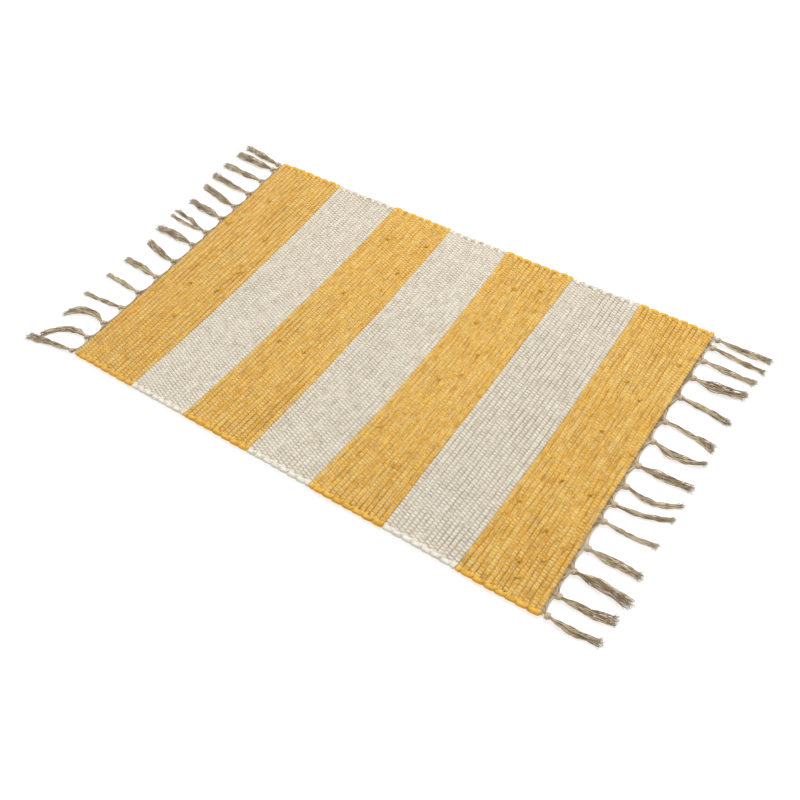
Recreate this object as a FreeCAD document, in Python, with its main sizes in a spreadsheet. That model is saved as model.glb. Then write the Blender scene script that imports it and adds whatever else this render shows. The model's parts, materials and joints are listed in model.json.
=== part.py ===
"""Hand-woven rag bath mat: thick rag wefts in seven colour bands, cotton warp yarns, knotted tassels.

Units are millimetres. +X runs along the mat's length, across its ribs, +Y across its width and +Z up.
The origin is on the floor, under the middle of the mat.
"""
import FreeCAD, Part
import math
import os
from collections import namedtuple
from FreeCAD import Placement, Rotation, Vector

# ---------------------------------------------------------------- driving dimensions
DIMENSIONS = [
    ("mat_width", 600.0, "selvedge to selvedge, along the ribs"),
    ("yellow_band_length", 136.0, "each yellow band, woven to the nearest whole rib"),
    ("cream_band_length", 127.0, "each cream band, woven to the nearest whole rib"),
    ("yellow_rag_radius", 3.5, "half the thickness of the yellow rag strip"),
    ("cream_rag_radius", 3.2, "half the thickness of the cream rag strip"),
    ("warp_thickness", 1.1, "cotton warp yarn, pressed flat"),
    ("weave_clearance", 0.25, "between a rag and the warp that wraps it"),
    ("rib_spread", 0.46, "how much wider than its tightest the rib pitch is"),
    ("warp_group_width", 12.0, "the ends that share one tassel, laid side by side"),
    ("warp_groups", 15, "groups of warp ends across the width"),
    ("fold_gap", 1.0, "opening in a warp where two bands hinge"),
    ("heading_radius", 1.6, "cord of warp yarn that locks the last rib"),
    ("heading_gap", 0.5, "from the woven field's end to the heading"),
    ("web_gap", 2.0, "between the webs of neighbouring tassels"),
    ("web_thickness", 2.0, "warp ends between heading and knot, side by side"),
    ("swing_clearance", 0.3, "from the heading to a web that swings round it"),
    ("knot_reach", 10.0, "from the heading to the middle of the knot"),
    ("knot_radius", 4.4, "overhand knot in a tassel"),
    ("knot_length", 8.8, "the knot, along the tassel"),
    ("neck_radius", 2.8, "loose skirt of a tassel where it leaves the knot"),
    ("skirt_radius", 4.6, "loose skirt of a tassel at its cut end"),
    ("skirt_length", 78.0, "from the middle of the knot to the cut end"),
]

# Each tassel, from the front edge to the back one: its place across the width, as a share of the
# width from the front, and how far its skirt leans towards the back, in degrees.
LEFT_TASSELS = [
    (0.013, 0), (0.065, -10), (0.137, -4), (0.203, 1), (0.283, 8),
    (0.362, 8), (0.442, 16), (0.533, 8), (0.608, 11), (0.673, 14),
    (0.745, 16), (0.817, 12), (0.890, 8), (0.961, -2), (0.990, -1),
]
RIGHT_TASSELS = [
    (0.013, 0), (0.072, 3), (0.142, -3), (0.215, -2), (0.302, 5),
    (0.358, 12), (0.417, 6), (0.485, -3), (0.578, 6), (0.650, -4),
    (0.743, -2), (0.818, 0), (0.885, -8), (0.943, -6), (0.978, -7),
]
BANDS = 7

doc = FreeCAD.newDocument("RagMat")
sheet = doc.addObject("Spreadsheet::Sheet", "Sizes")
for row, (alias, value, meaning) in enumerate(DIMENSIONS, start=1):
    sheet.set(f"A{row}", meaning)
    sheet.set(f"B{row}", str(value))
    sheet.setAlias(f"B{row}", alias)
doc.recompute()


def size(alias):
    """The number in the sheet's cell of that name."""
    return float(sheet.get(alias))


# ---------------------------------------------------------------- bands and ribs
# A rib is one run of the rag strip across the mat. Ribs are counted from 0 through the whole mat.
Band = namedtuple("Band", "number colour radius rise pitch first ribs start")
bands = []
ribs_so_far = 0
length_so_far = 0.0
for number in range(1, BANDS + 1):
    colour = "yellow" if number % 2 else "cream"
    radius = size(f"{colour}_rag_radius")
    rise = radius + size("weave_clearance") + size("warp_thickness") / 2
    pitch = 2 * rise + size("rib_spread")
    ribs = max(2, round(size(f"{colour}_band_length") / pitch))
    bands.append(Band(number, colour, radius, rise, pitch, ribs_so_far, ribs, length_so_far))
    ribs_so_far += ribs
    length_so_far += ribs * pitch
bands = [band._replace(start=band.start - length_so_far / 2) for band in bands]
middle = max(band.rise for band in bands) + size("warp_thickness") / 2

# The same length and height as expressions, for objects that are bound to the sheet.
RAISED = "Sizes.weave_clearance + Sizes.warp_thickness"
PITCHES = [f"{band.ribs} * (2 * Sizes.{band.colour}_rag_radius + 2 * Sizes.weave_clearance"
           " + Sizes.warp_thickness + Sizes.rib_spread)" for band in bands]
FIELD_END = f"(({' + '.join(PITCHES)}) / 2)"
MIDDLE = f"(max(Sizes.yellow_rag_radius; Sizes.cream_rag_radius) + {RAISED})"
HEADING_X = f"({FIELD_END} + Sizes.heading_gap + Sizes.heading_radius)"
TASSEL_HEIGHT = "max(Sizes.knot_radius; Sizes.skirt_radius)"
ALONG_Y = Rotation(Vector(1, 0, 0), -90)

nodes = []


def node(kind, name):
    """A new object that is one of the mat's sub-parts."""
    item = doc.addObject(kind, name)
    item.Label = name
    nodes.append(item)
    return item


def bind(item, rotation, expressions):
    """Turns an object as given, and binds its sizes and its place to the sheet."""
    item.Placement = Placement(Vector(), rotation)
    for prop, text in expressions.items():
        item.setExpression(prop, text)
    return item


# ---------------------------------------------------------------- rag wefts
def rag_path(band):
    """The middle line of one rag strip: a straight run for each rib, joined by half-circle turns.

    Even ribs turn into the next one at the back, odd ribs at the front. The strip's two loose ends
    reach the selvedge line.
    """
    turned_run = (size("mat_width") - band.pitch) / 2 - band.radius
    loose_run = size("mat_width") / 2
    edges = []
    for rib in range(band.ribs):
        way = 1 if (band.first + rib) % 2 == 0 else -1
        x = band.start + band.pitch * (rib + 0.5)
        begins = loose_run if rib == 0 else turned_run
        ends = loose_run if rib == band.ribs - 1 else turned_run
        edges.append(Part.LineSegment(Vector(x, -way * begins, middle), Vector(x, way * ends, middle)).toShape())
        if rib < band.ribs - 1:
            turn_top = Vector(x + band.pitch / 2, way * (ends + band.pitch / 2), middle)
            turn_end = Vector(x + band.pitch, way * ends, middle)
            edges.append(Part.Arc(Vector(x, way * ends, middle), turn_top, turn_end).toShape())
    return Part.Wire(edges)


def rag_weft(band):
    """One continuous rag strip: a round section, bound to the sheet, swept along the strip's path."""
    path = doc.addObject("Part::Feature", f"rag_path_{band.number}")
    path.Shape = rag_path(band)
    first_edge = path.Shape.Edges[0]
    section = bind(doc.addObject("Part::Circle", f"rag_section_{band.number}"), ALONG_Y,
                   {"Radius": f"Sizes.{band.colour}_rag_radius"})
    section.Placement.Base = first_edge.valueAt(first_edge.FirstParameter)
    strip = node("Part::Sweep", f"rag_weft_{band.number}")
    strip.Sections = [section]
    strip.Spine = (path, [])
    strip.Solid = True
    strip.Frenet = False


# ---------------------------------------------------------------- warps
def warp_outline(band, over_even):
    """Closed outline, in X and Z, of warp ends that pass over one rib and under the next.

    The middle line is level over a rib and slopes between two, just far enough off to touch a circle
    of radius rise round each rib. The sides are half a yarn away from it. It starts and stops half a
    fold gap short of the middle height, on the slopes that cross the band's two borders.
    """
    slope = math.asin(2 * band.rise / band.pitch)
    half = size("warp_thickness") / 2
    flat = band.pitch * (1 - math.cos(slope)) / 2
    mitre = half * math.tan(slope / 2)

    def side_of(rib):
        return 1 if over_even == ((band.first + rib) % 2 == 0) else -1

    def cut_end(x, way, side):
        """The upper and the lower corner where the warp stops at a border; way points into the band."""
        along = Vector(way * math.cos(slope), 0, side * math.sin(slope)) * (size("fold_gap") / 2)
        up = Vector(-way * side * math.sin(slope), 0, math.cos(slope)) * half
        point = Vector(x, 0, middle) + along
        return point + up, point - up

    upper, lower = ([corner] for corner in cut_end(band.start, 1, side_of(0)))
    for rib in range(band.ribs):
        side = side_of(rib)
        x = band.start + band.pitch * (rib + 0.5)
        z = middle + side * band.rise
        upper += [Vector(x + way * (flat + side * mitre), 0, z + half) for way in (-1, 1)]
        lower += [Vector(x + way * (flat - side * mitre), 0, z - half) for way in (-1, 1)]
    last_up, last_down = cut_end(band.start + band.ribs * band.pitch, -1, side_of(band.ribs - 1))
    return upper + [last_up, last_down] + lower[::-1] + [upper[0]]


def warps(band):
    """The warp ends of one band, in evenly spaced groups that pass over alternate ribs."""
    groups = int(size("warp_groups"))
    width = size("warp_group_width")
    spacing = size("mat_width") / groups
    faces = [Part.Face(Part.makePolygon(warp_outline(band, over_even))) for over_even in (True, False)]
    solids = []
    for group in range(groups):
        solid = faces[group % 2].extrude(Vector(0, width, 0))
        solid.translate(Vector(0, (group + 0.5 - groups / 2) * spacing - width / 2, 0))
        solids.append(solid)
    node("Part::Feature", f"warp_{band.number}").Shape = Part.makeCompound(solids)


for band in bands:
    rag_weft(band)
    warps(band)

# ---------------------------------------------------------------- headings
for end, outward in (("left", -1), ("right", 1)):
    bind(node("Part::Cylinder", f"heading_{end}"), ALONG_Y, {
        "Radius": "Sizes.heading_radius",
        "Height": "Sizes.mat_width",
        "Placement.Base.x": f"{outward} * {HEADING_X}",
        "Placement.Base.y": "-Sizes.mat_width / 2",
        "Placement.Base.z": MIDDLE,
    })


# ---------------------------------------------------------------- tassels
def tassel(name, outward, place, front_edge, back_edge, lean):
    """One tassel: a web of warp ends that narrows to an overhand knot, and the loose skirt beyond.

    place, front_edge and back_edge are shares of the mat's width from its front edge.
    """
    lean_x = outward * math.cos(math.radians(lean))
    lean_y = math.sin(math.radians(lean))
    leaning = Rotation(Vector(0, 0, 1), Vector(lean_x, lean_y, 0))
    knot_x = f"{outward} * ({HEADING_X} + Sizes.knot_reach)"
    knot_y = f"Sizes.mat_width * {place - 0.5}"
    to_front = f"(Sizes.mat_width * {place - front_edge} - Sizes.web_gap / 2)"
    to_back = f"(Sizes.mat_width * {back_edge - place} - Sizes.web_gap / 2)"
    # The web's own X runs towards the front on the right end and towards the back on the left one.
    low, high = (to_back, to_front) if outward > 0 else (to_front, to_back)
    web = bind(doc.addObject("Part::Wedge", f"{name}_web"), Rotation(Vector(0, 0, 1), -90 * outward), {
        "Xmin": f"-{low}",
        "Xmax": high,
        "X2min": "-Sizes.neck_radius",
        "X2max": "Sizes.neck_radius",
        "Ymin": "Sizes.heading_radius + Sizes.swing_clearance",
        "Ymax": "Sizes.knot_reach - Sizes.knot_length / 4",
        "Zmin": f"{MIDDLE} - Sizes.web_thickness / 2",
        "Zmax": f"{MIDDLE} + Sizes.web_thickness / 2",
        "Z2min": f"{TASSEL_HEIGHT} - Sizes.web_thickness / 2",
        "Z2max": f"{TASSEL_HEIGHT} + Sizes.web_thickness / 2",
        "Placement.Base.x": f"{outward} * {HEADING_X}",
        "Placement.Base.y": knot_y,
    })
    knot = bind(doc.addObject("Part::Cylinder", f"{name}_knot"), leaning, {
        "Radius": "Sizes.knot_radius",
        "Height": "Sizes.knot_length",
        "Placement.Base.x": f"{knot_x} - Sizes.knot_length / 2 * {lean_x}",
        "Placement.Base.y": f"{knot_y} - Sizes.knot_length / 2 * {lean_y}",
        "Placement.Base.z": TASSEL_HEIGHT,
    })
    skirt = bind(doc.addObject("Part::Cone", f"{name}_skirt"), leaning, {
        "Radius1": "Sizes.neck_radius",
        "Radius2": "Sizes.skirt_radius",
        "Height": "Sizes.skirt_length",
        "Placement.Base.x": knot_x,
        "Placement.Base.y": knot_y,
        "Placement.Base.z": TASSEL_HEIGHT,
    })
    node("Part::MultiFuse", name).Shapes = [web, knot, skirt]


for end, outward, tassels in (("left", -1, LEFT_TASSELS), ("right", 1, RIGHT_TASSELS)):
    places = [place for place, lean in tassels]
    # A web ends half way to the next tassel, and at the mat's own edges.
    edges = [0.0] + [(a + b) / 2 for a, b in zip(places, places[1:])] + [1.0]
    for number, (place, lean) in enumerate(tassels, start=1):
        tassel(f"tassel_{end}_{number:02d}", outward, place, edges[number - 1], edges[number], lean)

# ---------------------------------------------------------------- check and write
doc.recompute()
for item in doc.Objects:
    if {"Invalid", "Error"} & set(item.State):
        raise RuntimeError(f"{item.Label} did not rebuild")
for item in nodes:
    if item.Shape.isNull() or not item.Shape.isValid() or not item.Shape.Solids:
        raise RuntimeError(f"{item.Label} is not a sound solid")

os.makedirs("parts", exist_ok=True)
for item in nodes:
    item.Shape.exportStep(os.path.join("parts", f"{item.Label}.step"))
    box = item.Shape.BoundBox
    print(f"{item.Label}: {len(item.Shape.Solids)} solid(s), {item.Shape.Volume / 1000:.1f} cm3,",
          f"X {box.XMin:.1f} to {box.XMax:.1f}, Y {box.YMin:.1f} to {box.YMax:.1f},",
          f"Z {box.ZMin:.2f} to {box.ZMax:.2f}")
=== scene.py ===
"""Looks of a hand-woven rag bath mat: rag strips beaten over cotton warp ends, with knotted tassels.

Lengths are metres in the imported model's frame: +X runs along the mat and across its ribs, +Y to its
back edge and +Z up. The front edge is the one at -Y.
"""
import json
import math

import bpy
import numpy as np
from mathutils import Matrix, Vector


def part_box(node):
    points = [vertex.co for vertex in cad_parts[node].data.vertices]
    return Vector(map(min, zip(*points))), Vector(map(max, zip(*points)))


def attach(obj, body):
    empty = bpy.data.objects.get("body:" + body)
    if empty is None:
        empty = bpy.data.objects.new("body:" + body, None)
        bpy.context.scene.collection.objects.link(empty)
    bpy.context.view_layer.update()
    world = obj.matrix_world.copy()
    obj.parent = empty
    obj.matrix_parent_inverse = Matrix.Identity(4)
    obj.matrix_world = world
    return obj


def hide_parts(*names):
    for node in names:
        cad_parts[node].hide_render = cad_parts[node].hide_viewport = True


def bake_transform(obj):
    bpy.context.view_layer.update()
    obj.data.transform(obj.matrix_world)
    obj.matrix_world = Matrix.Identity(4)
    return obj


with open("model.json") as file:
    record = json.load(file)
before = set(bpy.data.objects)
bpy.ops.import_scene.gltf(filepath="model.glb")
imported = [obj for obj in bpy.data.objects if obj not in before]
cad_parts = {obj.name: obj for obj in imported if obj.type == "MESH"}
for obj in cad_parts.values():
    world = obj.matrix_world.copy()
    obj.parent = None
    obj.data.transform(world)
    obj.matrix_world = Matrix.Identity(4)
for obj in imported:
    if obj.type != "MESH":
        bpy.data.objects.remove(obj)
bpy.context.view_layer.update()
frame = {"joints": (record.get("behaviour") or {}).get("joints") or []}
mm = 0.001

# ---------------------------------------------------------------- camera
# It stands in front of the right half of the mat and looks down at it, turned to the left and rolled
# a little, so that the mat crosses the picture from the back left to the front right.
lens = bpy.data.cameras.new("camera")
lens.lens = 41.58
camera = bpy.data.objects.new("camera", lens)
camera.location = (0.6845, -0.8000, 1.1889)
camera.rotation_euler = [math.radians(turn) for turn in (37.895, 4.347, 34.364)]
bpy.context.scene.collection.objects.link(camera)
bpy.context.scene.camera = camera
bpy.context.scene.view_settings.view_transform = "Standard"


# ---------------------------------------------------------------- floor and light
# A plain white studio floor that glows a little, under one broad soft light high behind the mat,
# with a bright room around it, so that the mat throws only a faint shadow.
def shader(tree, kind, inputs, **settings):
    """Adds a node to a tree. inputs gives each input, by name or place, a value or another output."""
    made = tree.nodes.new(kind)
    for name, value in settings.items():
        setattr(made, name, value)
    for name, value in inputs.items():
        if isinstance(value, bpy.types.NodeSocket):
            tree.links.new(value, made.inputs[name])
        else:
            made.inputs[name].default_value = value
    return made


def new_material(name):
    """An empty material and its node tree."""
    material = bpy.data.materials.new(name)
    material.use_nodes = True
    material.node_tree.nodes.clear()
    return material, material.node_tree


def surface_of(tree, inputs):
    """A Principled surface with these inputs, as the material's output."""
    cloth = shader(tree, "ShaderNodeBsdfPrincipled", inputs)
    shader(tree, "ShaderNodeOutputMaterial", {"Surface": cloth.outputs["BSDF"]})


FLOOR_REACH = 6.0
floor_mesh = bpy.data.meshes.new("floor")
floor_mesh.from_pydata([(x, y, 0) for x, y in ((-1, -1), (1, -1), (1, 1), (-1, 1))], [], [(0, 1, 2, 3)])
floor_mesh.transform(((FLOOR_REACH, 0, 0, 0), (0, FLOOR_REACH, 0, 0), (0, 0, 1, 0), (0, 0, 0, 1)))
floor = bpy.data.objects.new("floor", floor_mesh)
bpy.context.scene.collection.objects.link(floor)
white, white_nodes = new_material("studio_white")
surface_of(white_nodes, {"Base Color": (0.55, 0.55, 0.55, 1), "Roughness": 0.9,
                         "Emission Color": (1, 1, 1, 1), "Emission Strength": 0.6})
floor_mesh.materials.append(white)

room = bpy.data.worlds.new("room")
room.use_nodes = True
room.node_tree.nodes["Background"].inputs["Color"].default_value = (1.0, 1.0, 1.0, 1)
room.node_tree.nodes["Background"].inputs["Strength"].default_value = 0.64
bpy.context.scene.world = room


softbox = bpy.data.lights.new("key_light", "AREA")
softbox.size = 1.6
softbox.energy = 65
key_light = bpy.data.objects.new("key_light", softbox)
key_light.location = (-0.1, 1.7, 2.5)
key_light.rotation_euler = [math.radians(turn) for turn in (-37, -2, 0)]
bpy.context.scene.collection.objects.link(key_light)

# ---------------------------------------------------------------- the weave's layout
# Fifteen ribs to a band, seven bands. The beat of the loom has pushed the bands' borders off their
# straight lines, and no two ribs are equally wide.
joints = {joint["name"]: joint for joint in frame["joints"]}
BANDS = 7
RIBS = 15
HEADING_GAP = 0.5 * mm
field_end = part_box("heading_right")[0][0] - HEADING_GAP
folds = [joints[f"fold_{band}_{band + 1}"]["pos_m"][0] for band in range(1, BANDS)]
borders = np.array([-field_end, *folds, field_end])
half_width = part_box("heading_right")[1][1]
# How far each border has wandered, in mm: at the front edge, in the middle and at the back edge.
WANDER = np.array([(0, 3, -3), (4, 14, 7), (-3, 14, 14), (0, 10, 6), (-3, 12, 0), (0, 0, 0), (0, 7, 1),
                   (-1, -3, -1)]) * mm
RIPPLE_WAVES = 6
RIPPLE_SIZE = 0.5 * mm


def ripple(x, y, seed, size, wave):
    """A smooth random ripple: the sum of some sine waves of about that length, in random directions.

    Each wave's size is the given size over the root of their number.
    """
    draw = np.random.default_rng(seed)
    total = 0.0
    for _ in range(RIPPLE_WAVES):
        bearing, start = draw.uniform(0, 2 * np.pi, 2)
        turns = 2 * np.pi / (wave * draw.uniform(0.6, 1.8))
        total = total + np.sin(turns * (x * np.cos(bearing) + y * np.sin(bearing)) + start)
    return size / RIPPLE_WAVES ** 0.5 * total


def laid(x, y):
    """Where a point of the straight weave really lies.

    Along X it moves by its border's wander, which is a parabola through the three values, taken in
    proportion between two borders, and by a small ripple. Along Y it moves by a ripple.
    """
    front, middle, back = WANDER.T
    across = y / half_width
    span = np.clip(np.searchsorted(borders, x) - 1, 0, BANDS - 1)
    share = np.clip((x - borders[span]) / (borders[span + 1] - borders[span]), 0, 1)

    def wander(border):
        slope = (back - front)[border] / 2
        curve = ((back + front) / 2 - middle)[border]
        return middle[border] + slope * across + curve * across ** 2

    moved = (1 - share) * wander(span) + share * wander(span + 1)
    return x + moved + ripple(x, y, 3, RIPPLE_SIZE, 90 * mm), y + ripple(x, y, 4, RIPPLE_SIZE, 120 * mm)


# Each rib's width, in random shares of its band, and the ribs' middles from the left end to the right.
WIDTH_SPREAD = 0.07
widths = 1 + WIDTH_SPREAD * np.random.default_rng(7).standard_normal((BANDS, RIBS)).clip(-1.6, 1.6)
widths = widths / widths.sum(axis=1, keepdims=True) * np.diff(borders)[:, None]
rib_x = (borders[:-1, None] + np.cumsum(widths, axis=1) - widths / 2).ravel()
rib_width = widths.ravel()

# Warp ends, 2.88 mm apart. End number n passes over rib number r where n + r is even. It leans as it
# crosses: over a rib it moves this far to the front, and under the next one as far back again.
WARP_SPACING = 2.88 * mm
WARP_ENDS = 202
WARP_LEAN = 1.3 * mm
warp_y = (np.arange(WARP_ENDS) - (WARP_ENDS - 1) / 2) * WARP_SPACING
# How high the middle of the weave lies above the floor.
MIDDLE = 4.1 * mm


def grid_tubes(name, rings, lengths, tone=None):
    """A mesh of closed tubes, from rings of the shape (tubes, rings along, corners round, 3).

    Neighbouring rings are joined by four-sided faces, and each end is closed by one face. The UV map
    holds the length along the tube in metres and the share of the way round it. tone is one number
    for each tube, or one for each of its rings, kept as an attribute.
    """
    tubes, along, corners, _ = rings.shape
    index = np.arange(tubes * along * corners).reshape(tubes, along, corners)
    following = np.roll(index, -1, axis=2)
    quads = np.stack([index[:, :-1], following[:, :-1], following[:, 1:], index[:, 1:]], axis=-1)
    caps = np.stack([index[:, 0, ::-1], index[:, -1]], axis=1)
    loops = np.concatenate([quads.ravel(), caps.ravel()])
    quad_count = quads.size // 4
    starts = np.concatenate([np.arange(quad_count) * 4, quad_count * 4 + np.arange(2 * tubes) * corners])
    length = np.broadcast_to(lengths, (tubes, along))[:, :, None]
    turn = np.arange(corners)[None, None] / corners
    quad_u = np.stack(np.broadcast_arrays(*[length[:, :-1]] * 2, *[length[:, 1:]] * 2), axis=-1)
    quad_u = np.broadcast_to(quad_u, quads.shape)
    quad_v = np.stack([turn, turn + 1 / corners, turn + 1 / corners, turn], axis=-1)
    quad_v = np.broadcast_to(quad_v, quads.shape)
    cap_u = np.broadcast_to(length[:, [0, -1]], caps.shape)
    cap_v = np.broadcast_to(turn, caps.shape)
    uv = np.stack([np.concatenate([quad_u.ravel(), cap_u.ravel()]),
                   np.concatenate([quad_v.ravel(), cap_v.ravel()])], axis=-1)
    mesh = bpy.data.meshes.new(name)
    mesh.vertices.add(index.size)
    mesh.vertices.foreach_set("co", rings.ravel())
    mesh.loops.add(len(loops))
    mesh.loops.foreach_set("vertex_index", loops.astype(np.int32))
    mesh.polygons.add(len(starts))
    mesh.polygons.foreach_set("loop_start", starts.astype(np.int32))
    mesh.uv_layers.new(name="along").data.foreach_set("uv", uv.ravel())
    mesh.update(calc_edges=True)
    mesh.shade_smooth()
    tones = np.zeros((tubes, 1)) if tone is None else np.reshape(tone, (tubes, -1))
    tones = np.broadcast_to(tones[:, :, None], (tubes, along, corners))
    spread = mesh.attributes.new("tone", "FLOAT", "POINT")
    spread.data.foreach_set("value", tones.astype(np.float32).ravel())
    piece = bpy.data.objects.new(name, mesh)
    bpy.context.scene.collection.objects.link(piece)
    return piece


def run_length(points):
    """The length along each tube's middle line, from its start."""
    steps = np.linalg.norm(np.diff(points, axis=-2), axis=-1)
    return np.concatenate([np.zeros(steps.shape[:-1] + (1,)), np.cumsum(steps, axis=-1)], axis=-1)


def tube_rings(points, side_size, up_size, corners):
    """Rings round middle lines: each an ellipse across the line's run, its second axis near +Z.

    The first axis is +Z crossed with the run's direction, the second the direction crossed with the
    first. The sizes are half of the ellipse's, for every point of every line.
    """
    run = np.gradient(points, axis=-2)
    run = run / np.linalg.norm(run, axis=-1, keepdims=True)
    side = np.cross((0.0, 0.0, 1.0), run)
    side = side / np.maximum(np.linalg.norm(side, axis=-1, keepdims=True), 1e-6)
    up = np.cross(run, side)
    angle = 2 * np.pi * np.arange(corners) / corners
    wide = np.asarray(side_size)[..., None, None] * np.cos(angle)[:, None] * side[..., None, :]
    high = np.asarray(up_size)[..., None, None] * np.sin(angle)[:, None] * up[..., None, :]
    return points[..., None, :] + wide + high


def bend_with(piece, band, half):
    """At either end of the mat the piece is attached to its band's body; elsewhere its place is baked into
    its mesh.
    """
    other = band + (1 if half == "right" else -1)
    if not 1 <= other <= BANDS:
        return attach(piece, f"band_{band}")
    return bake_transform(piece)


HALVES = {"left": (0, 8), "right": (8, RIBS)}  # The ribs of a band that each half holds.

# ---------------------------------------------------------------- rag wefts
# Each band is one strip torn from cotton cloth, crushed to a soft round rope and laid to and fro
# between the warp ends. The ends press grooves into it, above and below in turn, and it puffs up
# between them and where it turns at the two selvedges.
# The last colour of each cloth is painted shade for the rib flanks, where one rib is packed against the
# next.
# The share after how square the top is sets how strongly painted shade darkens the hollows of the creases.
RAG = {  # Half heights, how deep a warp end presses, how square the top is, and the cloth's colours.
    "yellow": {"height": 3.6 * mm, "groove": 0.9 * mm, "square": 1.24, "crease_shade_share": 0.9,
               "light": (0.92, 0.71, 0.26, 1), "base": (0.87, 0.54, 0.09, 1),
               "dark": (0.74, 0.38, 0.035, 1), "fleck": (0.66, 0.28, 0.02, 1),
               "faded": (0.80, 0.63, 0.27, 1), "turned": (0.90, 0.50, 0.06, 1),
               "gap": (0.62, 0.48, 0.30, 1)},
    "cream": {"height": 3.55 * mm, "groove": 1.95 * mm, "square": 1.16, "crease_shade_share": 0.5,
              "light": (0.93, 0.89, 0.81, 1), "base": (0.88, 0.83, 0.73, 1),
              "dark": (0.77, 0.71, 0.59, 1), "fleck": (0.66, 0.59, 0.45, 1),
              "faded": (0.84, 0.79, 0.67, 1), "turned": (0.93, 0.90, 0.82, 1),
              "gap": (0.72, 0.68, 0.60, 1)},
}
TURN_DEPTH = 4.6 * mm
TURN_WIDTH = 4.4 * mm
TURN_HEIGHT = 4.2 * mm
TURN_SQUARENESS = 0.45
# How far a turn is stretched along X, how unequally deep the turns are, and how far one climbs over
# the next, at either selvedge.
TURN_PLAY = {"back": (1.6 * mm, 1.1 * mm, 0.7 * mm), "front": (3.4 * mm, 0.35 * mm, 1.2 * mm)}
END_REACH = TURN_DEPTH + 2.6 * mm
# Shares of half a rib's width: a rib's own, that of its corners above and below, and how much less
# an upper corner stands out under a warp end and in a turn.
RIB_FULLNESS = 1.09
UPPER_FULLNESS = 1.24
LOWER_FULLNESS = 1.03
HELD_IN = 0.26
TURNED_IN = 0.16
CRUMPLE = 0.09 * mm
FLOOR_GAP = 0.1 * mm
# Where the warp ends' hold on the rag begins to fade past the outermost end, and over what length.
HOLD_REACH = 2.2 * mm
HOLD_FADE = 1.5 * mm
RUN_POINTS = 510
TURN_POINTS = 17
RAG_CORNERS = 8
run_end = half_width - TURN_DEPTH - TURN_WIDTH


def smooth_noise(draw, count, passes):
    """Random numbers along a line, made smooth by averaging neighbours that many times."""
    noise = draw.standard_normal(count)
    for _ in range(passes):
        noise = (np.roll(noise, 1) + 2 * noise + np.roll(noise, -1)) / 4
    return noise / noise.std()


def rag_path(first, last, draw):
    """The strip's middle line through ribs first to last - 1, before the weave's wander.

    A run is straight along Y. A turn is half of a squarish ellipse from one rib to the next: its
    sine and its cosine are raised to TURN_SQUARENESS. It is stretched along X to overlap the next
    turn, and climbs over it. The band's first run starts, and its last one ends, at the selvedge.
    Gives x, y, z, the rib at each point and how far into a turn it is, from 0 on a run to 1 at its
    outermost point.
    """
    xs, ys, zs, ribs, turned = [], [], [], [], []

    def add(x, y, z, rib, turn):
        for column, values in zip((xs, ys, zs, ribs, turned), (x, y, z, rib, turn)):
            column.append(values * np.ones(len(y)))

    swing = np.linspace(-np.pi / 2, np.pi / 2, TURN_POINTS + 2)[1:-1]
    tuck = np.linspace(0.12, 1, 8)
    for rib in range(first, last):
        way = 1 if rib % 2 == 0 else -1
        if rib % RIBS == 0:
            add(rib_x[rib], -way * (run_end + tuck[::-1] * END_REACH), MIDDLE, rib, tuck[::-1])
        add(rib_x[rib], np.linspace(-way, way, RUN_POINTS) * run_end, MIDDLE, rib, 0.0)
        if (rib + 1) % RIBS == 0:
            add(rib_x[rib], way * (run_end + tuck * END_REACH), MIDDLE, rib, tuck)
        else:
            step = rib_x[rib + 1] - rib_x[rib]
            across = np.sign(np.sin(swing)) * np.abs(np.sin(swing)) ** TURN_SQUARENESS
            out = np.cos(swing) ** TURN_SQUARENESS
            stretch, uneven, climb = TURN_PLAY["back" if way > 0 else "front"]
            reach = TURN_DEPTH + uneven * draw.uniform(-1, 0.6)
            add(rib_x[rib] + step * (1 + across) / 2 + stretch * out * across,
                way * (run_end + reach * out), MIDDLE + climb * out * across, rib, out)
    return [np.concatenate(column) for column in (xs, ys, zs, ribs, turned)]


def pressed(y, rib, lean):
    """How far the warp ends press the rag at y, from 0 to 1, from above and from below.

    It is a raised cosine, highest at each end that passes over (or under) the rib and zero half way
    between two such ends; past the outermost end it fades out.
    """
    inside = np.clip((warp_y[-1] + HOLD_REACH - np.abs(y)) / HOLD_FADE, 0, 1)
    sides = []
    for side, start in ((1, 0), (-1, 1)):
        ends_passed = (y + side * lean - warp_y[0]) / WARP_SPACING
        sides.append(inside * (1 + np.cos(np.pi * (ends_passed + rib % 2 + start))) / 2)
    return sides


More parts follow.
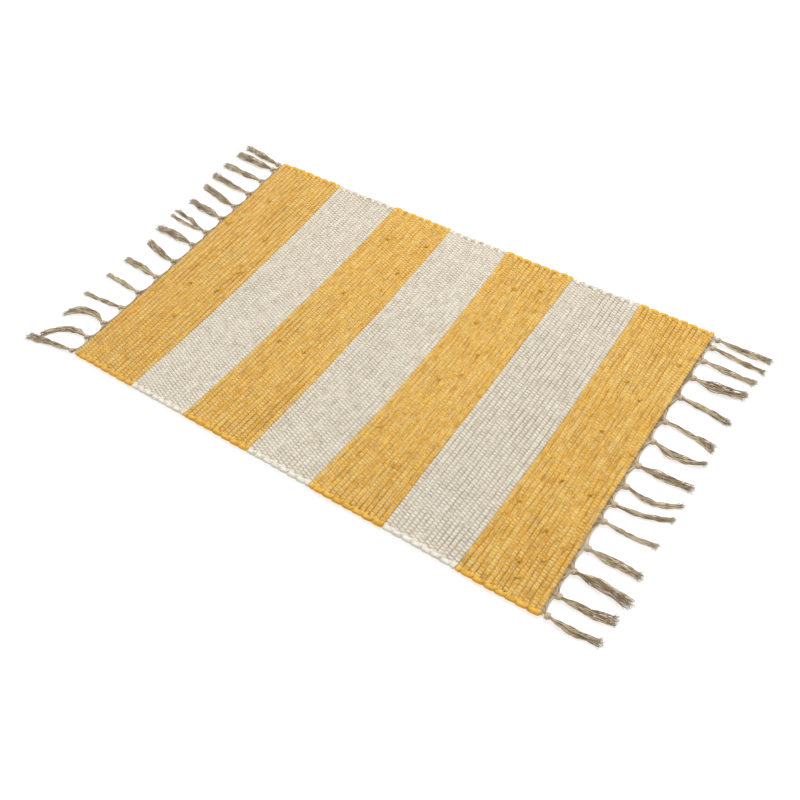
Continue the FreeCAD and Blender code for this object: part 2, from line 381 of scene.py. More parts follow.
def rag_strip(name, band, half, colour):
    """One half of a band's rag strip: rings of eight corners round its path, pressed by the warp ends.

    A ring is an ellipse as wide as its rib. Its width and height vary by smooth random shares, its
    upper corners stand out further, and every corner is moved a little at random, as crumpled cloth.
    Under a warp end it is lower by the groove, and over one its underside is higher by as much.
    """
    facts = RAG[colour]
    draw = np.random.default_rng(100 + 2 * band + (half == "right"))
    low, high = (RIBS * (band - 1) + edge for edge in HALVES[half])
    x, y, z, rib, turned = rag_path(low, high, draw)
    rib = rib.astype(int)
    count = len(x)
    laid_x, laid_y = laid(x, y)
    points = np.stack([laid_x, laid_y, z], axis=-1)[None]
    puff = 1 + 0.035 * smooth_noise(draw, count, 300) + 0.03 * smooth_noise(draw, count, 30)
    apart = np.clip(smooth_noise(draw, count, 900) - (0.8 if colour == "yellow" else 1.6), 0, 1)
    wide = rib_width[rib] / 2 * (RIB_FULLNESS + 0.03 * smooth_noise(draw, count, 40) - 0.13 * apart)
    wide = wide * (1 - turned) + TURN_WIDTH * turned
    height = facts["height"] * (1 - turned) + TURN_HEIGHT * turned
    angle = -np.pi / 2 + 2 * np.pi * np.arange(RAG_CORNERS) / RAG_CORNERS
    run = np.gradient(points[0], axis=0)
    run = run / np.linalg.norm(run, axis=-1, keepdims=True)
    side = np.stack([-run[:, 1], run[:, 0], 0 * run[:, 0]], axis=-1)
    # Between two warp ends the rag swells over its neighbour, which is pressed there.
    lean = WARP_LEAN / 2 * side[:, :1] * np.cos(angle)
    top, bottom = pressed(y[:, None], rib[:, None], lean)
    held = np.where(np.sin(angle) > 0, top, bottom)
    corner = np.arange(RAG_CORNERS) % 2 == 1
    upper = corner & (np.sin(angle) > 0)
    fuller = np.where(upper, UPPER_FULLNESS - HELD_IN * held - TURNED_IN * turned[:, None],
                      np.where(corner, LOWER_FULLNESS, 1.0))
    higher = np.where(upper, facts["square"] - 0.08 * held, 1.0)
    rise = np.where(np.sin(angle) > 0, (height * puff)[:, None], height[:, None])
    rise = rise - facts["groove"] * held
    crumple = np.stack([smooth_noise(draw, count, 4) for _ in range(RAG_CORNERS)], axis=-1) * CRUMPLE
    out = (wide[:, None] * fuller + crumple) * np.cos(angle)
    lift = (rise * higher + crumple) * np.sin(angle)
    rings = points[0][:, None] + out[..., None] * side[:, None] + lift[..., None] * np.array((0, 0, 1.0))
    rings[..., 2] = np.maximum(rings[..., 2], FLOOR_GAP)
    return grid_tubes(name, rings[None], run_length(points) + 10 * band, turned)


def effect(name, inputs, outputs):
    """A new shader node group with those sockets, and the group's own input and output nodes."""
    group = bpy.data.node_groups.new(name, "ShaderNodeTree")
    for socket, kind in inputs.items():
        group.interface.new_socket(socket, in_out="INPUT", socket_type=kind)
    for socket, kind in outputs.items():
        group.interface.new_socket(socket, in_out="OUTPUT", socket_type=kind)
    return group, group.nodes.new("NodeGroupInput"), group.nodes.new("NodeGroupOutput")


def use(tree, group, inputs):
    """Places a node group in a tree."""
    return shader(tree, "ShaderNodeGroup", inputs, node_tree=group)


def math_node(tree, operation, *values):
    """The output of a Math node."""
    return shader(tree, "ShaderNodeMath", dict(enumerate(values)), operation=operation).outputs[0]


def mixed(tree, share, first, second, blend_type="MIX"):
    """The output of a colour mix."""
    node = shader(tree, "ShaderNodeMix", {0: share, 6: first, 7: second}, data_type="RGBA",
                  blend_type=blend_type)
    return node.outputs[2]


# Cotton fibre: a fine cloudy fuzz, for every cloth and yarn.
fibre, fibre_in, fibre_out = effect("cotton_fibre", {"Fineness": "NodeSocketFloat"},
                                    {"Mask": "NodeSocketFloat"})
fibre_place = shader(fibre, "ShaderNodeTexCoord", {})
fibre_noise = shader(fibre, "ShaderNodeTexNoise", {"Vector": fibre_place.outputs["Object"],
                                                   "Scale": fibre_in.outputs["Fineness"],
                                                   "Detail": 5.0, "Roughness": 0.65})
fibre.links.new(fibre_noise.outputs["Fac"], fibre_out.inputs["Mask"])

# Crushed cloth: creases that run along the strip, and slow changes of tone from rib to rib.
crush, crush_in, crush_out = effect(
    "crushed_cloth", {"Crease length": "NodeSocketFloat", "Creases round": "NodeSocketFloat"},
    {"Crease": "NodeSocketFloat", "Tone": "NodeSocketFloat", "Patch": "NodeSocketFloat"})
crush_map = shader(crush, "ShaderNodeUVMap", {}, uv_map="along")
crush_split = shader(crush, "ShaderNodeSeparateXYZ", {0: crush_map.outputs[0]})
crease_u = math_node(crush, "DIVIDE", crush_split.outputs[0], crush_in.outputs["Crease length"])
crease_v = math_node(crush, "MULTIPLY", crush_split.outputs[1], crush_in.outputs["Creases round"])
crease_at = shader(crush, "ShaderNodeCombineXYZ", {0: crease_u, 1: crease_v})
crease = shader(crush, "ShaderNodeTexNoise", {"Vector": crease_at.outputs[0], "Scale": 1.0,
                                              "Detail": 3.0, "Roughness": 0.6}, noise_dimensions="2D")
tone_u = shader(crush, "ShaderNodeTexNoise", {"W": crush_split.outputs[0], "Scale": 5.0, "Detail": 3.0,
                                              "Roughness": 0.6}, noise_dimensions="1D")
patch_u = shader(crush, "ShaderNodeTexNoise", {"W": crush_split.outputs[0], "Scale": 70.0,
                                               "Detail": 2.0}, noise_dimensions="1D")
crush.links.new(crease.outputs["Fac"], crush_out.inputs["Crease"])
crush.links.new(tone_u.outputs["Fac"], crush_out.inputs["Tone"])
crush.links.new(patch_u.outputs["Fac"], crush_out.inputs["Patch"])


def ramp(tree, value, stops):
    """A colour ramp's colour, from (place, colour) stops."""
    node = shader(tree, "ShaderNodeValToRGB", {0: value})
    elements = node.color_ramp.elements
    while len(elements) < len(stops):
        elements.new(0.5)
    for element, (place, colour) in zip(elements, stops):
        element.position = place
        element.color = colour
    return node.outputs["Color"]


def rag_material(colour):
    """Crushed cotton cloth with a dull sheen.

    Its tone changes along the strip. Dark flecks, faded patches, creases along the strip with painted
    shade in their hollows, and fibre fuzz lie over that. Where the strip turns it has its own colour, and
    its flanks, where one rib is packed against the next, are darkened with painted shade.
    """
    facts = RAG[colour]
    material, tree = new_material(f"rag_{colour}")
    cloth = use(tree, crush, {"Crease length": 24 * mm, "Creases round": 9.0})
    fuzz = use(tree, fibre, {"Fineness": 850.0})
    tone = ramp(tree, cloth.outputs["Tone"],
                [(0.34, facts["dark"]), (0.47, facts["base"]), (0.66, facts["light"])])
    tone = mixed(tree, 0.4, facts["base"], tone)
    flecks = use(tree, fibre, {"Fineness": 420.0})
    fleck = ramp(tree, flecks.outputs["Mask"], [(0.40, (1, 1, 1, 1)), (0.48, (0, 0, 0, 1))])
    tone = mixed(tree, math_node(tree, "MULTIPLY", fleck, 0.8), tone, facts["fleck"])
    worn = use(tree, crush, {"Crease length": 6 * mm, "Creases round": 3.0})
    mottle = ramp(tree, worn.outputs["Crease"], [(0.46, (0, 0, 0, 1)), (0.62, (1, 1, 1, 1))])
    tone = mixed(tree, math_node(tree, "MULTIPLY", mottle, 0.6), tone, facts["faded"])
    at_edge = shader(tree, "ShaderNodeAttribute", {}, attribute_name="tone")
    tone = mixed(tree, math_node(tree, "MULTIPLY", at_edge.outputs["Fac"], 0.7), tone, facts["turned"])
    patch = ramp(tree, cloth.outputs["Patch"], [(0.3, (0.90, 0.88, 0.84, 1)), (0.6, (1.03, 1.03, 1.03, 1))])
    tone = mixed(tree, 0.8, tone, patch, "MULTIPLY")
    # Painted shade in the creases' hollows: darker where the creases' bump is low.
    painted_crease_shade = ramp(tree, cloth.outputs["Crease"],
                   [(0.36, (0.76, 0.68, 0.58, 1)), (0.52, (1.03, 1.03, 1.03, 1))])
    tone = mixed(tree, facts["crease_shade_share"], tone, painted_crease_shade, "MULTIPLY")
    # Painted shade on the ribs' flanks, where one rib is packed against the next. The measure is how far
    # round from the nearer of the flanks: 0 there, 0.25 on top.
    strip_map = shader(tree, "ShaderNodeUVMap", {}, uv_map="along")
    way_round = shader(tree, "ShaderNodeSeparateXYZ", {0: strip_map.outputs[0]}).outputs[1]
    from_top = math_node(tree, "ABSOLUTE", math_node(tree, "SUBTRACT", way_round, 0.5))
    from_flank = math_node(tree, "ABSOLUTE", math_node(tree, "SUBTRACT", from_top, 0.25))
    flank_shade = ramp(tree, from_flank, [(0.085, facts["gap"]), (0.14, (1, 1, 1, 1))])
    tone = mixed(tree, 0.5, tone, flank_shade, "MULTIPLY")
    fuzzed = ramp(tree, fuzz.outputs["Mask"], [(0.3, (0.88, 0.87, 0.85, 1)), (0.7, (1.06, 1.06, 1.07, 1))])
    tone = mixed(tree, 1.0, tone, fuzzed, "MULTIPLY")
    folds_bump = shader(tree, "ShaderNodeBump", {"Height": cloth.outputs["Crease"], "Strength": 0.7,
                                                 "Distance": 1.1 * mm})
    bump = shader(tree, "ShaderNodeBump", {"Height": fuzz.outputs["Mask"], "Strength": 0.5,
                                           "Distance": 0.4 * mm, "Normal": folds_bump.outputs[0]})
    surface_of(tree, {"Base Color": tone, "Roughness": 0.88, "Specular IOR Level": 0.2,
                      "Sheen Weight": 0.15, "Sheen Roughness": 0.5, "Normal": bump.outputs[0]})
    return material


rag_cloth = {colour: rag_material(colour) for colour in RAG}
rag_pieces = {}
for band in range(1, BANDS + 1):
    colour = "yellow" if band % 2 else "cream"
    for half in HALVES:
        rag = rag_strip(f"rag_{colour}_{band}_{half}", band, half, colour)
        rag.data.materials.append(rag_cloth[colour])
        bend_with(rag, band, half)
        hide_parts(f"rag_weft_{band}")
        rag_pieces[band, half] = rag

# ---------------------------------------------------------------- warp ends
# Plied cotton yarn, an end about every 3 mm, over one rib and under the next. It shows as a short bar
# across each rib, sunk between two puffs of rag, whose loose fibres have tinted it.
WARP_WIDE = 0.72 * mm
WARP_HIGH = 0.55 * mm
WARP_CORNERS = 4
WARP_SWAY = 0.12 * mm
SHOULDER = 0.33


def warp_run(name, band, half, colour):
    """The warp ends of half a band. Over each rib they have a shoulder, a top and a shoulder.

    A top lies above the middle by the rag's pressed half height and 0.8 of the yarn's, and the
    shoulders, a share of the rib's width to either side, are 0.8 as high. Under a rib the same is
    turned upside down. The ends stop near the half's two edges at middle height.
    """
    draw = np.random.default_rng(200 + 2 * band + (half == "right"))
    low, high = (RIBS * (band - 1) + edge for edge in HALVES[half])
    rib = np.repeat(np.arange(low, high), 3)
    place = np.tile([-SHOULDER, 0.0, SHOULDER], high - low)
    climb = np.tile([0.8, 1.0, 0.8], high - low)
    x = rib_x[rib] + place * rib_width[rib]
    x = np.concatenate([[x[0] - 0.2 * rib_width[low]], x, [x[-1] + 0.2 * rib_width[high - 1]]])
    climb = np.concatenate([[0], climb, [0]])
    rib = np.concatenate([[low], rib, [high - 1]])
    number = np.arange(WARP_ENDS)[:, None]
    side = np.where((number + rib) % 2 == 0, 1, -1)
    top = RAG[colour]["height"] - RAG[colour]["groove"] + WARP_HIGH * 0.8
    z = MIDDLE + side * climb * top
    lean = WARP_LEAN * np.concatenate([[0], place[:3 * (high - low)], [0]])
    laid_x, laid_y = laid(np.broadcast_to(x, z.shape), warp_y[:, None] - side * lean)
    laid_y = laid_y + draw.normal(0, WARP_SWAY, z.shape)
    points = np.stack([laid_x, laid_y, z], axis=-1)
    rings = tube_rings(points, np.full(z.shape, WARP_WIDE), np.full(z.shape, WARP_HIGH), WARP_CORNERS)
    tone = np.random.default_rng(5).normal(0, 1, WARP_ENDS)
    return grid_tubes(name, rings, run_length(points) + 0.37 * number, tone)


# Plied yarn: ridges that wind round it, for warps, headings and tassels.
ply, ply_in, ply_out = effect("plied_yarn", {"Lay length": "NodeSocketFloat", "Plies": "NodeSocketFloat"},
                              {"Ridge": "NodeSocketFloat", "Tone": "NodeSocketFloat"})
ply_map = shader(ply, "ShaderNodeUVMap", {}, uv_map="along")
ply_split = shader(ply, "ShaderNodeSeparateXYZ", {0: ply_map.outputs[0]})
ply_along = math_node(ply, "DIVIDE", ply_split.outputs[0], ply_in.outputs["Lay length"])
ply_round = math_node(ply, "MULTIPLY", ply_split.outputs[1], ply_in.outputs["Plies"])
ply_turns = math_node(ply, "ADD", ply_along, ply_round)
ply_wave = math_node(ply, "SINE", math_node(ply, "MULTIPLY", ply_turns, 2 * math.pi))
ply_ridge = shader(ply, "ShaderNodeMapRange", {"Value": ply_wave, "From Min": -1.0, "From Max": 1.0})
ply_long = shader(ply, "ShaderNodeTexNoise", {"W": ply_split.outputs[0], "Scale": 45.0, "Detail": 2.0},
                  noise_dimensions="1D")
ply_tone = shader(ply, "ShaderNodeAttribute", {}, attribute_name="tone")
ply_shade = math_node(ply, "MULTIPLY", ply_tone.outputs["Fac"], 0.09)
ply_sum = math_node(ply, "ADD", ply_long.outputs["Fac"], ply_shade)
ply.links.new(ply_ridge.outputs["Result"], ply_out.inputs["Ridge"])
ply.links.new(ply_sum, ply_out.inputs["Tone"])


def cotton_material(name, light, base, dark, lay, plies):
    """Plied cotton yarn: light and dark lengths, painted shade between its plies, fibre fuzz."""
    material, tree = new_material(name)
    yarn = use(tree, ply, {"Lay length": lay, "Plies": plies})
    fuzz = use(tree, fibre, {"Fineness": 1100.0})
    tone = ramp(tree, yarn.outputs["Tone"], [(0.25, dark), (0.5, base), (0.75, light)])
    # Painted shade in the hollows between the plies, where the twist bump is low.
    between = ramp(tree, yarn.outputs["Ridge"], [(0.0, (0.70, 0.67, 0.63, 1)), (0.55, (1, 1, 1, 1))])
    tone = mixed(tree, 0.8, tone, between, "MULTIPLY")
    fuzzed = ramp(tree, fuzz.outputs["Mask"], [(0.3, (0.86, 0.86, 0.85, 1)), (0.7, (1.07, 1.07, 1.08, 1))])
    tone = mixed(tree, 1.0, tone, fuzzed, "MULTIPLY")
    twist_bump = shader(tree, "ShaderNodeBump", {"Height": yarn.outputs["Ridge"], "Strength": 0.8,
                                                 "Distance": 0.3 * mm})
    bump = shader(tree, "ShaderNodeBump", {"Height": fuzz.outputs["Mask"], "Strength": 0.4,
                                           "Distance": 0.2 * mm, "Normal": twist_bump.outputs[0]})
    surface_of(tree, {"Base Color": tone, "Roughness": 0.85, "Specular IOR Level": 0.25,
                      "Sheen Weight": 0.12, "Normal": bump.outputs[0]})
    return material


warp_cotton = {
    "yellow": cotton_material("warp_cotton_in_yellow", (0.88, 0.60, 0.30, 1), (0.79, 0.485, 0.19, 1),
                              (0.66, 0.36, 0.10, 1), 2.6 * mm, 2.0),
    "cream": cotton_material("warp_cotton_in_cream", (0.72, 0.66, 0.54, 1), (0.62, 0.55, 0.43, 1),
                             (0.44, 0.38, 0.28, 1), 2.6 * mm, 2.0),
}
warp_pieces = {}
for band in range(1, BANDS + 1):
    colour = "yellow" if band % 2 else "cream"
    for half in HALVES:
        warp = warp_run(f"warp_ends_{band}_{half}", band, half, colour)
        warp.data.materials.append(warp_cotton[colour])
        bend_with(warp, band, half)
        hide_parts(f"warp_{band}")
        warp_pieces[band, half] = warp

# ---------------------------------------------------------------- rag ends
# Where one yellow strip ends and the next begins, its torn end stands up out of the weave: a small
# crumpled nub of cloth and some loose orange threads.
RAG_ENDS = {  # By band and half, in mm: each end's place along X and Y, and how long its threads are.
    (7, "left"): [(383, 132, 5), (391, 23, 4), (398, -238, 7), (382, -91, 4), (345, -152, 6)],
    (7, "right"): [(445, -189, 8), (428, -220, 8), (433, -90, 5), (456, 6, 5), (405, -177, 5),
                   (417, 108, 4), (440, 205, 4), (410, -262, 6)],
    (5, "left"): [(112, -20, 5), (141, 5, 5), (100, 120, 4), (120, 220, 6), (85, -150, 4)],
    (5, "right"): [(193, -15, 5), (144, 57, 5), (165, 240, 6), (150, -200, 4)],
    (3, "left"): [(-150, 60, 4), (-175, -90, 4), (-160, 215, 5)],
    (3, "right"): [(-120, -88, 5), (-90, 150, 4), (-80, 235, 5)],
    (1, "left"): [(-448, 101, 8), (-420, 190, 5), (-405, -60, 4)],
    (1, "right"): [(-362, 100, 12), (-349, 2, 8), (-352, -51, 8), (-375, -140, 4)],
}
END_THREADS = 14
END_HEIGHT = 4.0 * mm
END_SCATTER = 1.3 * mm
NUB_RISE = 1.4 * mm
NUB_HALF = 1.1 * mm
THREAD_HALF = 0.5 * mm


def rag_ends(name, places, draw):
    """Threads that arch up from their place and fall along the rib, every fourth a short thick nub."""
    starts = np.repeat(np.array([place[:2] for place in places], float) * mm, END_THREADS, axis=0)
    reach = np.repeat([place[2] * mm for place in places], END_THREADS)[:, None]
    nub = np.tile(np.arange(END_THREADS) % 4 == 0, len(places))[:, None]
    bearing = np.pi * (draw.integers(0, 2, reach.shape) - 0.5) + draw.normal(0, 0.6, reach.shape)
    along = np.linspace(0, 1, 7)
    away = reach * np.where(nub, 0.55, draw.uniform(0.5, 1.1, reach.shape)) * along
    bend = draw.normal(0, 0.9, reach.shape) * along
    start = starts + draw.normal(0, END_SCATTER, starts.shape)
    x = start[:, :1] + away * np.cos(bearing + bend)
    y = start[:, 1:] + away * np.sin(bearing + bend)
    x, y = laid(x, y)
    rise = np.where(nub, NUB_RISE, draw.uniform(0.8, 2.4, reach.shape) * mm)
    z = MIDDLE + END_HEIGHT + rise * np.sin(np.pi * np.clip(along * 1.15, 0, 1)) + 0 * x
    thick = np.where(nub, NUB_HALF, THREAD_HALF) * (1 - 0.5 * along ** 3)
    points = np.stack([x, y, z], axis=-1)
    return grid_tubes(name, tube_rings(points, thick, thick, 5), run_length(points) + 0.1 * bearing,
                      draw.normal(0, 1.5, len(points)))


end_threads = cotton_material("rag_threads", (1.0, 0.70, 0.14, 1), (0.98, 0.60, 0.08, 1),
                              (0.92, 0.48, 0.04, 1), 2 * mm, 2.0)
for (band, half), places in RAG_ENDS.items():
    draw = np.random.default_rng(400 + 2 * band + len(half))
    loose_ends = rag_ends(f"rag_ends_{band}_{half}", places, draw)
    loose_ends.data.materials.append(end_threads)
    bend_with(loose_ends, band, half)
    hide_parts(f"rag_weft_{band}")

# ---------------------------------------------------------------- headings
# Two rows of two-ply cotton cord, twined across the warp ends beyond the last rib so that the ribs
# can't slip off. The rows are twisted opposite ways, and the warp ends pass through both.
HEADING_PLY = 0.8 * mm
HEADING_TWIST = 0.55 * mm
HEADING_LAY = 6 * mm
HEADING_POINTS = 590
HEADING_ROWS = (1.3 * mm, 3.6 * mm)
HEADING_INSET = 5 * mm
HEADING_DROP = 0.2 * mm
ROW_SHIFT = 0.5


def heading_cord(name, outward):
    """For each row two helices, half a turn apart, round a line along the wandering end of the weave.

    The outer row winds the other way and starts ROW_SHIFT radians on.
    """
    y = np.linspace(-half_width + HEADING_INSET, half_width - HEADING_INSET, HEADING_POINTS)
    rows = np.repeat(HEADING_ROWS, 2)[:, None]
    twist = np.array([[1.0], [1.0], [-1.0], [-1.0]])
    start = np.array([[0.0], [np.pi], [ROW_SHIFT], [np.pi + ROW_SHIFT]])
    x, y = laid(outward * field_end * np.ones((4, 1)), y * np.ones((4, 1)))
    turn = 2 * np.pi * y / HEADING_LAY * twist + start
    points = np.stack([x + outward * rows + HEADING_TWIST * np.cos(turn), y,
                       MIDDLE - HEADING_DROP + HEADING_TWIST * np.sin(turn)], axis=-1)
    size = np.full(turn.shape, HEADING_PLY)
    rings = tube_rings(points, size, 1.25 * size, 6)
    return grid_tubes(name, rings, run_length(points), np.array([-0.5, 0.6, 0.2, -0.1]))


heading_cotton = cotton_material("heading_cotton", (0.94, 0.86, 0.72, 1), (0.86, 0.76, 0.60, 1),
                                 (0.68, 0.57, 0.42, 1), 3 * mm, 2.0)
headings = {}
for end, outward, band in (("left", -1, 1), ("right", 1, BANDS)):
    cord = heading_cord(f"heading_cord_{end}", outward)
    cord.data.materials.append(heading_cotton)
    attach(cord, f"band_{band}")
    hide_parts(f"heading_{end}")
    headings[end] = cord

# ---------------------------------------------------------------- tassels
# The warp ends past the heading are gathered into fifteen bundles at each end of the mat. Each
# bundle is pulled together to an overhand knot and hangs on as a loose skirt with frayed tips.
# From the front edge to the back one, in mm: the knot's distance from the front edge, the tip's,
# how far the skirt bows to the back, how far it hooks at its tip, half its width in the middle and
# at the tip, half the distance between two strands that it splits into, and its length beyond the knot.
TASSELS = {
    "left": [
        (4, -9, 0, -2, 6, 9.5, 0, 95), (41, 27, 8, -22, 6, 7, 0, 78),
        (81, 80, 10, -14, 7.5, 10.5, 0, 80), (125, 120, 0, 0, 4.2, 4, 0, 84),
        (170, 176, 1, 0, 5, 4.5, 0, 82), (217, 223, 2, 1, 7.5, 8, 0, 80),
        (265, 281, -2, 2, 7, 7, 0, 76), (318, 322, 2, 0, 9, 9, 0, 88),
        (358, 371, 0, 0, 4.6, 4.6, 8, 92), (404, 415, 0, 0, 9, 7.5, 0, 84),
        (444, 463, 0, 0, 8.5, 8, 0, 90), (488, 498, 0, 2, 7, 11, 0, 98),
        (532, 537, 0, 0, 7.5, 8.5, 0, 97), (572, 577, 0, 0, 9, 10.5, 0, 92),
        (590, 604, 0, 0, 7.5, 8, 0, 90)],
    "right": [
        (8, 12, -3, 0, 6, 6, 0, 74), (42, 50, -2, 0, 6.5, 8, 0, 78),
        (87, 84, 2, 0, 9.5, 10, 0, 82), (129, 129, 0, 0, 7, 6.5, 0, 78),
        (181, 184, -2, 0, 4, 4, 0, 76), (214, 232, -3, 2, 4.2, 4.5, 0, 78),
        (251, 256, -7, 6, 4.8, 4, 0, 79), (294, 298, 0, 0, 7.4, 6.8, 0, 78),
        (346, 344, -7, 4, 8, 4.6, 0, 78), (390, 382, 3, 0, 3.8, 8.5, 0, 78),
        (446, 439, 2, 0, 5.5, 6.5, 0, 78), (493, 500, -4, 0, 10, 9, 0, 80),
        (534, 533, 0, 0, 5.8, 5.5, 0, 82), (568, 562, 0, 0, 4.4, 4.4, 0, 83),
        (588, 588, -1, 0, 5.2, 6.5, 2, 86)],
}
KNOT_OUT = 8.5 * mm
KNOT_HALF = 4.5 * mm
KNOT_RADIUS = 4.3 * mm
SKIRT_YARN = 0.8 * mm
FEWEST_YARNS = 24
WEB_POINTS = 10
KNOT_POINTS = 16
SKIRT_POINTS = 28
WEB_START = -3.5 * mm
WEB_RISE = 1.8 * mm
WEB_FLAT = 8 * mm
HEADING_DEPTH = 1.9 * mm
GOLDEN_ANGLE = 2.39996
FLATNESS = 0.42
YARN_WANDER = 1.5 * mm
CUT_SPREAD = 2.2 * mm
LOWEST_YARN = 0.85 * mm
KNOT_CLEAR = 0.9 * mm
WRAP_HALF = 0.9 * mm
WRAP_ABREAST = 1.4 * mm
WRAP_TURNS = 1.35
FRAY_HALF = 0.26 * mm
FRAYS = 3
FRAY_POINTS = 4
FRAY_FAN = (1.8, 3.0, 0.9)
LOWEST_FRAY = 0.4 * mm


def eased(value):
    """Smooth step from 0 to 1."""
    value = np.clip(value, 0, 1)
    return value * value * (3 - 2 * value)


def tassel_yarns(outward, row, own_y, draw):
    """Middle lines of one tassel's yarns, of the shape (yarns, points, 3), and their half thicknesses.

    Out to the knot each yarn closes on the knot's line as the power 1.6 of the way left. In the knot
    it winds once and a half round that line on a radius that swells as a sine. Beyond, it keeps its
    own place in a bundle that opens to its middle width, goes on to its tip width, settles on the
    floor and wanders by slow sine waves.
    """
    knot_y, tip_y, bow, hook, middle, tip, split, skirt = (value * mm for value in row)
    knot_y, tip_y = knot_y - half_width, tip_y - half_width
    yarns = len(own_y)
    web = np.linspace(WEB_START, KNOT_OUT - KNOT_HALF, WEB_POINTS, endpoint=False)
    knot = np.linspace(KNOT_OUT - KNOT_HALF, KNOT_OUT + KNOT_HALF, KNOT_POINTS, endpoint=False)
    loose = np.linspace(KNOT_OUT + KNOT_HALF, KNOT_OUT + skirt, SKIRT_POINTS)
    out = np.tile(np.concatenate([web, knot, loose]), (yarns, 1))
    beyond = np.clip((out - KNOT_OUT - KNOT_HALF) / (skirt - KNOT_HALF), 0, 1)
    out = out + beyond * draw.normal(0, CUT_SPREAD, (yarns, 1))
    line_y = knot_y + (tip_y - knot_y) * beyond + bow * 4 * beyond * (1 - beyond) + hook * beyond ** 4
    line_y = line_y + split * eased(1.6 * beyond) * np.where(np.arange(yarns)[:, None] % 2, 1, -1)
    # Each yarn's own place in the bundle: a radius share and a bearing.
    bearing = np.argsort(draw.random(yarns))[:, None] * GOLDEN_ANGLE + draw.normal(0, 0.2, (yarns, 1))
    share = np.sqrt((np.arange(yarns)[:, None] + 0.6) / yarns)
    to_knot = np.clip(1 - out / KNOT_OUT, 0, 1) ** 1.6
    in_knot = np.clip((out - KNOT_OUT + KNOT_HALF) / (2 * KNOT_HALF), 0, 1)
    swell = np.sin(np.pi * in_knot)
    spin = bearing + 3 * np.pi * eased(in_knot)
    bundle = 0.42 * mm * math.sqrt(yarns)
    radius = bundle + (KNOT_RADIUS - bundle) * swell
    round_knot = radius * (share * (1 - swell) + swell)
    opened, closing = eased(beyond / 0.38), eased((beyond - 0.45) / 0.5)
    half = (1 - closing) * middle + closing * tip - SKIRT_YARN
    wide = round_knot + (share * half - round_knot) * opened
    high = round_knot + (share * (FLATNESS * middle - 0.3 * mm) - round_knot) * opened
    wander = YARN_WANDER * eased(3 * beyond)
    sway = wander * np.sin(out / draw.uniform(5 * mm, 10 * mm, (yarns, 1)) + draw.uniform(0, 6, (yarns, 1)))
    bob = np.sin(out / draw.uniform(4 * mm, 8 * mm, (yarns, 1)) + draw.uniform(0, 6, (yarns, 1)))
    gathered = 1 - to_knot
    y = own_y[:, None] * to_knot + line_y * gathered + wide * np.cos(spin) * gathered ** 3 + sway
    over = np.where(np.arange(yarns)[:, None] % 2 == 0, 1, -1)
    web_z = MIDDLE + over * WEB_RISE * np.clip(1 - out / WEB_FLAT, 0, 1.3)
    knot_z = KNOT_RADIUS + KNOT_CLEAR
    rest_z = knot_z + (FLATNESS * middle + SKIRT_YARN - knot_z) * eased(2.2 * beyond)
    z = web_z * to_knot + rest_z * (1 - to_knot) + high * np.sin(spin) * gathered ** 3
    z = z + 0.5 * wander * bob
    x, _ = laid(np.full(y.shape, outward * field_end), np.clip(y, -half_width, half_width))
    x = x + outward * (out + HEADING_DEPTH)
    size = SKIRT_YARN * (1 + 0.1 * np.sin(out / (3.1 * mm) + 6 * share)) * (1 - 0.4 * beyond ** 6)
    points = np.stack([x, y, np.maximum(z, LOWEST_YARN)], axis=-1)
    return points, size


def frayed(points, draw):
    """Three fine plies that fan out from the tip of each yarn: its last direction, then sideways."""
    yarns = len(points)
    tip = points[:, -2]
    run = points[:, -1] - points[:, -3]
    run = run / np.linalg.norm(run, axis=-1, keepdims=True)
    along = np.linspace(0, 1, FRAY_POINTS)[None, None, :, None]
    aside = draw.normal(0, 1, (yarns, FRAYS, 1, 3)) * FRAY_FAN
    reach = draw.uniform(3, 10, (yarns, FRAYS, 1, 1)) * mm
    lines = tip[:, None, None] + run[:, None, None] * along * reach + aside * along ** 2 * mm
    lines[..., 2] = np.maximum(lines[..., 2], LOWEST_FRAY)
    return lines.reshape(yarns * FRAYS, FRAY_POINTS, 3)


def knot_wrap(points):
    """The strands that cross over the knot: a helix of WRAP_TURNS turns, three abreast.

    It leans to and fro along X by a sine, and closes in towards the knot's middle at both its ends.
    """
    middle = points[:, WEB_POINTS:WEB_POINTS + KNOT_POINTS].mean(axis=(0, 1))
    turn = np.linspace(0, 2 * WRAP_TURNS * np.pi, 30)
    abreast = np.array([[-1], [0], [1]]) * WRAP_ABREAST
    radius = KNOT_RADIUS + 0.5 * mm - 2.2 * mm * np.cos(turn / 2 / WRAP_TURNS) ** 8
    x = middle[0] + abreast + (turn / turn[-1] - 0.5) * 2.6 * mm + 1.5 * mm * np.sin(turn + 0.6)
    y = middle[1] + radius * np.cos(turn) + 0 * abreast
    z = middle[2] + radius * np.sin(turn) + 0 * abreast
    return np.stack([x, y, np.maximum(z, WRAP_HALF)], axis=-1)


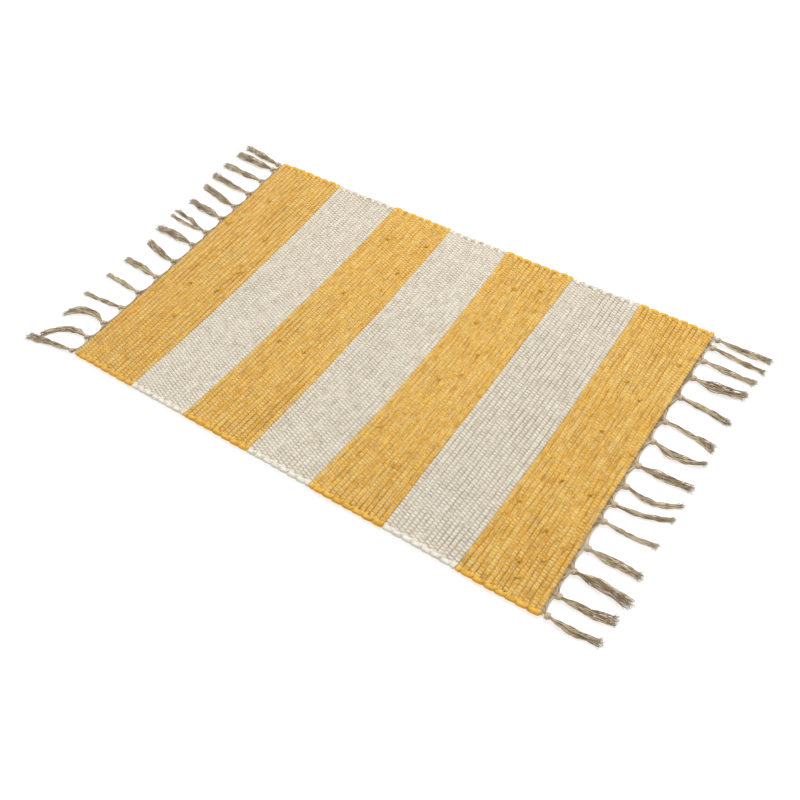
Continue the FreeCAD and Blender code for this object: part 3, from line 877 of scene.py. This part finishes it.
tassel_cotton = cotton_material("tassel_cotton", (0.80, 0.68, 0.49, 1), (0.61, 0.485, 0.325, 1),
                                (0.35, 0.25, 0.145, 1), 3.2 * mm, 2.0)


def join_as(name, parts):
    """Joins mesh objects into the first one, under that name."""
    with bpy.context.temp_override(active_object=parts[0], selected_editable_objects=parts):
        bpy.ops.object.join()
    parts[0].name = name
    return parts[0]


tassels = {}
for end, outward, band in (("left", -1, 1), ("right", 1, BANDS)):
    rows = TASSELS[end]
    places = np.array([row[0] * mm - half_width for row in rows])
    nearest = np.abs(warp_y[:, None] - places).argmin(axis=1)
    for number, row in enumerate(rows, start=1):
        draw = np.random.default_rng(300 + 50 * (outward > 0) + number)
        own_y = warp_y[nearest == number - 1]
        doubled = math.ceil(FEWEST_YARNS / len(own_y))
        own_y = np.repeat(own_y, doubled) + np.tile(np.arange(doubled) * 2 * mm / doubled, len(own_y))
        points, size = tassel_yarns(outward, row, own_y, draw)
        wrap = knot_wrap(points)
        tips = frayed(points, draw)
        wrap_size = np.full(wrap.shape[:2], WRAP_HALF)
        tip_size = np.full(tips.shape[:2], FRAY_HALF)
        parts = [
            grid_tubes("yarns", tube_rings(points, size, size, 4), run_length(points) + 0.4 * number,
                       draw.normal(0, 3, len(points))),
            grid_tubes("wrap", tube_rings(wrap, wrap_size, wrap_size, 5), run_length(wrap),
                       np.array([0.4, -0.3, 0.8])),
            grid_tubes("tips", tube_rings(tips, tip_size, tip_size, 3), run_length(tips),
                       draw.normal(0.5, 1, len(tips))),
        ]
        tassel = join_as(f"tassel_yarns_{end}_{number:02d}", parts)
        tassel.data.materials.clear()
        tassel.data.materials.append(tassel_cotton)
        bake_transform(tassel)
        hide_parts(f"tassel_{end}_{number:02d}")
        tassels[end, number] = tassel

# ---------------------------------------------------------------- cloth facts
# The woven field is one cloth laid flat. For each half band a list is made of its own warp ends, and
# for the outermost ones also of the heading and the fringe; nothing more is done with the list.
for (band, half), rag in rag_pieces.items():
    goes_with = [warp_pieces[band, half]]
    end = {(1, "left"): "left", (BANDS, "right"): "right"}.get((band, half))
    if end:
        goes_with += [headings[end]] + [tassels[end, number] for number in range(1, 16)]
